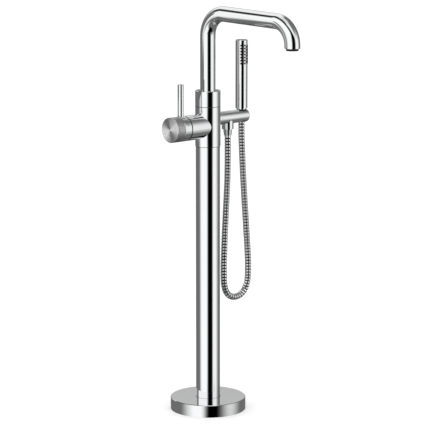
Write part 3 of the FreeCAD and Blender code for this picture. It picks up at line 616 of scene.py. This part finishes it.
def studio_level(graph):
    """Brightness of the room by direction: panels painted one after another over dark corners.

    Sides and heights are in degrees.  Each edge is a place and the width of its soft step.
    """
    direction = graph.node("ShaderNodeTexCoord", output="Generated")
    turned = graph.node("ShaderNodeVectorRotate", {"rotation_type": "Z_AXIS"}, {
        "Vector": direction, "Angle": math.radians(studio_turn)})
    x, y, z = [graph.node("ShaderNodeSeparateXYZ", None, {"Vector": turned}, axis)
               for axis in range(3)]
    side = x.combine("ARCTAN2", y, x) * (180 / math.pi)
    height = z.combine("ARCSINE", z, 0.0) * (180 / math.pi)
    sink = 1 - height.rise((sink_from + sink_to) / 2, sink_from - sink_to)
    lift = height.rise((lift_from + lift_to) / 2, lift_to - lift_from)

    left_outer, left_inner = -76 - 28 * lift + 8 * sink, -5 - 6 * sink
    left = side.between(left_outer, left_inner, 34 - 26 * lift + 24 * sink, 20 + 7 * sink)
    right = side.between(46.5 + 3.5 * sink, 97, 19 + 31 * sink, 48)
    gap = side.between(-12, 62, 8, 8)
    line = side.between(-136, -98, 8, 8)
    behind = side.rise(168, 20) + 1 - side.rise(-129.5, 6)
    shade = side.rise(150, 40) + 1 - side.rise(-130, 30)
    arch = height + arch_fall * (side - arch_side) * (side - arch_side)

    # brightness and place of each, in the order of painting
    floor_shade = (0.064, shade * (1 - height.rise(-34, 24)))
    dark_line = (0.03, line * height.between(22, 60, 10, 10))
    black_gap = (0.0, gap * height.between(-60, 80, 10, 10))
    left_panel = (1.08, left * height.between(-42, 66, 14, 16))
    dark_arch = (0.03, arch.between(50, 72, 8, 8) * side.between(-125, 0, 20, 20))
    over_arch = (0.95, arch.rise(77, 8) * side.between(-130, 58, 10, 20))
    ceiling = (0.8, height.rise(74, 12))
    right_panel = (1.03 - 0.33 * sink, right * height.between(-30, 31, 16, 38))
    paper = (0.96, behind * height.between(16.5, 75, 36, 20))
    paints = [floor_shade, dark_line, black_gap, left_panel, dark_arch, over_arch, ceiling,
              right_panel, paper]
    level = dark_corner
    for bright, mask in paints:
        level = level + (bright - level) * mask
    return level


print("room turned by", studio_turn, "degrees")

# %% [markdown]
# The sky is not the same for every ray.  Metal and glass see the painted room.  Matt surfaces
# are lit by one plain level from every side, at which a colour renders as it is written.  The
# camera itself sees white paper everywhere.

# %% Sky
plain_light = 1.0


def mirrored(graph):
    """1 for rays that come off metal or through glass."""
    glossy = graph.node("ShaderNodeLightPath", output="Is Glossy Ray")
    return glossy + graph.node("ShaderNodeLightPath", output="Is Transmission Ray")


def make_sky():
    """World: white for the camera, the studio for metal and glass, a plain level for the rest."""
    world = bpy.data.worlds.new("studio")
    bpy.context.scene.world = world
    graph = Graph(world)
    seen = graph.node("ShaderNodeLightPath", output="Is Camera Ray")
    level = plain_light + (studio_level(graph) - plain_light) * mirrored(graph)
    strength = level + (1.0 - level) * seen
    background = graph.node("ShaderNodeBackground", None, {
        "Color": (1, 1, 1, 1), "Strength": strength})
    graph.node("ShaderNodeOutputWorld", None, {"Surface": background})


make_sky()
print("sky: plain light of", plain_light)

# %% [markdown]
# A product photographer also tucks small white cards close to the piece, where one form needs a
# wider highlight than the rest.  One stands beside the spout's long run, which then shows a
# broad bright band that fades towards its underside.  The other stands behind the knob and
# lights the fans of its spun face.  Only metal can see them.

# %% Cards beside the spout and the knob
# place across (x) and back (y), lower and upper end, heights between which it fades in, brightness
cards = {
    "spout card": ((-0.29, -0.095), 0.06, (0.64, 0.90), (0.70, 0.80), 1.02),
    "knob card": ((-0.20, -0.105), 0.10, (0.545, 0.60), (0.546, 0.552), 0.55),
}


def make_card(name, across, back, heights, fade, light):
    """Upright face that only metal can see; its light fades towards its lower edge."""
    mesh = bpy.data.meshes.new(name)
    (left, right), (low, high) = across, heights
    corners = [(left, back, low), (right, back, low), (right, back, high), (left, back, high)]
    mesh.from_pydata(corners, [], [(0, 1, 2, 3)])
    card = bpy.data.objects.new(name.replace(" ", "_"), mesh)
    bpy.context.scene.collection.objects.link(card)
    for ray in ("camera", "diffuse", "transmission", "volume_scatter", "shadow"):
        setattr(card, "visible_" + ray, False)
    material = bpy.data.materials.new(name)
    graph = Graph(material)
    place = graph.node("ShaderNodeTexCoord", output="Object")
    upwards = graph.node("ShaderNodeSeparateXYZ", None, {"Vector": place}, "Z")
    lit = upwards.rise(sum(fade) / 2, fade[1] - fade[0])
    level = dark_corner + (light - dark_corner) * lit
    glow = graph.node("ShaderNodeEmission", None, {"Strength": level})
    graph.node("ShaderNodeOutputMaterial", None, {"Surface": glow})
    mesh.materials.append(material)


for name, place in cards.items():
    make_card(name, *place)
print("cards:", ", ".join(cards))

# %% [markdown]
# The floor is pale and matt, and its only work is to carry the soft shadow under the base.
# Part of its brightness is its own for the camera, so that it meets the white background
# without a line.

# %% Floor
floor_half = 40.0
floor_colour = 0.86
floor_glow = 0.235


def make_floor():
    """One large flat face under the filler, unseen by glossy rays."""
    mesh = bpy.data.meshes.new("floor")
    corners = [(-floor_half, -floor_half, 0), (floor_half, -floor_half, 0),
               (floor_half, floor_half, 0), (-floor_half, floor_half, 0)]
    mesh.from_pydata(corners, [], [(0, 1, 2, 3)])
    floor = bpy.data.objects.new("floor", mesh)
    bpy.context.scene.collection.objects.link(floor)
    floor.visible_glossy = False
    material = bpy.data.materials.new("pale floor")
    graph = Graph(material)
    seen = graph.node("ShaderNodeLightPath", output="Is Camera Ray")
    matt = graph.node("ShaderNodeBsdfDiffuse", None, {"Color": (floor_colour,) * 3 + (1,)})
    glow = graph.node("ShaderNodeEmission", None, {"Strength": seen * floor_glow})
    both = graph.node("ShaderNodeAddShader", None, {0: matt, 1: glow})
    graph.node("ShaderNodeOutputMaterial", None, {"Surface": both})
    mesh.materials.append(material)


make_floor()
print("floor:", 2 * floor_half, "m square")

# %% [markdown]
# Each finish below is a function that makes one material.  They share three helpers: one sets a
# Principled shader up from plain numbers and from the few sockets that vary over the surface,
# one turns an amount into a colour, and one turns a height into a slight relief.

# %% Helpers for finishes
finishes = {}                 # one material for each stuff that the record names


def surface(name, sockets, build):
    """Material from Principled sockets; build(graph) gives the ones that vary over the surface."""
    material = bpy.data.materials.new(name)
    graph = Graph(material)
    shader = graph.node("ShaderNodeBsdfPrincipled", None, {**sockets, **build(graph)})
    graph.node("ShaderNodeOutputMaterial", None, {"Surface": shader})
    return material


def tint(graph, amount, dark, light):
    """Colour that goes from dark to light as amount goes from 0 to 1."""
    stops = [(0.0, dark), (1.0, light)]
    return graph.node("ShaderNodeValToRGB", {"stops": stops}, {"Fac": amount})


def relief(graph, height, depth):
    """Normal from a height between 0 and 1 and its real depth in metres."""
    return graph.node("ShaderNodeBump", None, {
        "Height": height, "Distance": depth, "Strength": 1.0})


print("helpers for finishes are ready")

# %% [markdown]
# Most of what shows is brass under polished chrome, which is a mirror.  One metallic colour would
# do, but a mirror without any flaw looks drawn.  So the plating is barely uneven, and a large
# soft noise lays the haze over it that wiping leaves.  The lever's ring is polished less far, and
# gets a duller copy.

# %% Polished chrome
def polished_chrome(name, roughness):
    """Mirror chrome: barely uneven plating, and the faint haze that wiping leaves."""
    def build(graph):
        haze = graph.noise(38, 4)
        plating = graph.noise(260, 1)
        return {
            "Base Color": tint(graph, haze, (0.86, 0.865, 0.875), (0.90, 0.905, 0.91)),
            "Roughness": roughness + haze * 0.03,
            "Normal": relief(graph, plating, 0.0000015),
        }
    return surface(name, {"Metallic": 1.0}, build)


finishes["chrome"] = polished_chrome("polished chrome", 0.03)
satin_chrome = polished_chrome("satin chrome", 0.08)
print("made:", finishes["chrome"].name, "and", satin_chrome.name)

# %% [markdown]
# What comes off a lathe unpolished keeps fine marks.  A picture of scratches would have to be
# fitted to each piece, so a noise is stretched instead, until it lies in long streaks.  The same
# streaks steer the colour, the roughness and a relief of a few thousandths of a millimetre.

# %% Turned metal
def turned_metal(name, stretch, roughness, colour):
    """Fine turning marks; the noise is stretched along them."""
    def build(graph):
        marks = graph.noise(900, 3, stretch)
        dark = tuple(part * 0.93 for part in colour)
        return {
            "Base Color": tint(graph, marks, dark, colour),
            "Roughness": roughness + marks * 0.10,
            "Normal": relief(graph, marks, 0.000004),
        }
    return surface(name, {"Metallic": 1.0}, build)


finishes["brushed"] = turned_metal("turned chrome", (1.0, 0.04, 0.04), 0.20, (0.80, 0.80, 0.80))
finishes["brass"] = turned_metal("machined brass", (0.05, 1.0, 1.0), 0.25, (0.80, 0.62, 0.33))
print("made:", finishes["brushed"].name, "and", finishes["brass"].name)

# %% [markdown]
# Plastics, rubber, silicone, ceramic, and metal that nobody polishes need little: a colour that
# varies slightly with a fine grain, and a roughness that says how matt it is.  One function
# serves them all.  The deepest black is for the few small parts that look quite black in the
# photograph: the nozzles, the aerator's rim and one joint.

# %% Plain stuffs
def dull(name, dark, light, roughness, metallic=0.0):
    """Plain matt or semi-matt stuff with a fine grain."""
    def build(graph):
        grain = graph.noise(400, 3)
        return {
            "Base Color": tint(graph, grain, dark, light),
            "Roughness": roughness + grain * 0.12,
            "Normal": relief(graph, grain, 0.00001),
        }
    return surface(name, {"Metallic": metallic}, build)


finishes.update({
    "steel": dull("stainless steel", (0.50, 0.50, 0.51), (0.62, 0.62, 0.63), 0.25, 1.0),
    "copper": dull("drawn copper", (0.60, 0.32, 0.20), (0.76, 0.45, 0.30), 0.22, 1.0),
    "black_plastic": dull("black acetal", (0.012, 0.012, 0.012), (0.03, 0.03, 0.03), 0.40),
    "white_plastic": dull("white acetal", (0.74, 0.74, 0.72), (0.84, 0.84, 0.82), 0.38),
    "rubber": dull("black rubber", (0.012, 0.012, 0.012), (0.028, 0.028, 0.028), 0.62),
    "silicone": dull("dark silicone", (0.03, 0.03, 0.032), (0.06, 0.06, 0.062), 0.45),
    "ceramic": dull("lapped ceramic", (0.80, 0.79, 0.75), (0.88, 0.87, 0.84), 0.15),
})
deep_black = dull("deep black", (0.002, 0.002, 0.002), (0.006, 0.006, 0.006), 0.45)
print("finishes so far:", len(finishes))

# %% [markdown]
# The hose is chromed like the rest, but polish can't reach into its grooves, so they are dull.
# The mesh carries a number at each point, 1 in a groove and 0 on a bead, and that number turns
# the metal dull there and darkens its colour as painted shade in the grooves.

# %% Hose chrome
def hose_chrome():
    """Chromed strip: bright beads, and dull grooves whose colour is darkened as painted shade."""
    def build(graph):
        groove = graph.node("ShaderNodeAttribute", {"attribute_name": "groove"}, output="Fac")
        haze = graph.noise(300, 2)
        return {
            # painted shade: the colour turns near black in the grooves
            "Base Color": tint(graph, groove, (0.93, 0.935, 0.94), (0.012, 0.012, 0.013)),
            "Roughness": 0.04 + haze * 0.05 + groove * 0.35,
        }
    return surface("hose chrome", {"Metallic": 1.0}, build)


finishes["hose_metal"] = hose_chrome()
print("made:", finishes["hose_metal"].name)

# %% [markdown]
# The turned rings of the knob's face are in its shape, but they are coarser than real ones, and
# so their fans are weaker.  A painted highlight and painted shade in the colour make up for that:
# the colour is brightest along one line through the centre and darkest across it, by the angle
# about the barrel's axis.

# %% Spun disc with painted fans
# painted highlight fans on the knob's face: the angle of the brightest one, and its painted shade
# and painted highlight colours
painted_fan_turn = 152                # degrees from +Y towards +Z at which the disc's brightest fan lies
painted_fan_shade, painted_fan_highlight = (0.42, 0.42, 0.42), (0.98, 0.98, 0.98)


def spun_disc():
    """End face turned on a lathe: the rings are in the shape, and a painted highlight and painted
    shade in the colour add to their fans.
    """
    def build(graph):
        axis_y, axis_z, _ = barrel_axis("knob_end_disc")
        place = graph.node("ShaderNodeTexCoord", output="Object")
        across = graph.node("ShaderNodeSeparateXYZ", None, {"Vector": place}, "Y") - axis_y
        up = graph.node("ShaderNodeSeparateXYZ", None, {"Vector": place}, "Z") - axis_z
        turn = up.combine("ARCTAN2", up, across) - math.radians(painted_fan_turn)
        # painted highlight and painted shade: the colour is brightest along one line through the
        # centre and darkest across it
        fans = 0.5 + 0.5 * turn.combine("COSINE", turn * 2, 0.0)
        return {
            "Base Color": tint(graph, fans + 0.06 * graph.noise(1500, 2), painted_fan_shade, painted_fan_highlight),
            "Roughness": 0.11 + graph.noise(900, 2) * 0.08,
        }
    return surface("spun disc", {"Metallic": 1.0}, build)


end_disc.data.materials.append(spun_disc())
print("made:", end_disc.data.materials[0].name)

# %% [markdown]
# Between the knurl's diamonds little light gets in and out of the grooves.  Here too the mesh
# carries a number, 1 at the bottom of a groove, and it darkens the metal there.

# %% Knurled chrome
def knurled_chrome():
    """Knurled steel under thin chrome: bright diamonds, and grooves whose colour is darkened as
    painted shade.
    """
    def build(graph):
        cut = graph.node("ShaderNodeAttribute", {"attribute_name": "cut"}, output="Fac")
        grain = graph.noise(900, 2)
        return {
            # painted shade: the colour darkens towards the bottom of each groove
            "Base Color": tint(graph, cut, (0.86, 0.86, 0.86), (0.22, 0.22, 0.22)),
            "Roughness": 0.22 + grain * 0.10,
        }
    return surface("knurled chrome", {"Metallic": 1.0}, build)


knurl.data.materials.append(knurled_chrome())
print("made:", knurl.data.materials[0].name)

# %% [markdown]
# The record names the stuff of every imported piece, so one loop gives each its finish.  The new
# pieces get theirs by hand.  So do two packed ones that differ from their stuff: the lever's
# ring, which is satin, and the thin dark joint beside it.

# %% Finishes on the pieces
slots = {part["node"]: part["material_slot"] for part in frame["record"]["subparts"]}
for name, piece in nodes.items():
    piece.data.materials.clear()
    piece.data.materials.append(finishes[slots[name]])
hose.data.materials.append(finishes["hose_metal"])
spout.data.materials.append(finishes["chrome"])
for piece in (nozzles, aerator_rim):
    piece.data.materials.append(deep_black)
nodes["lever_ring"].data.materials[0] = satin_chrome
nodes["barrel_seam_ring"].data.materials[0] = deep_black
print("finishes:", len(finishes), "on", len(nodes), "packed pieces")

# %% [markdown]
# The last cell leaves the colours as they are written.

# %% Finish
bpy.context.scene.view_settings.view_transform = "Standard"
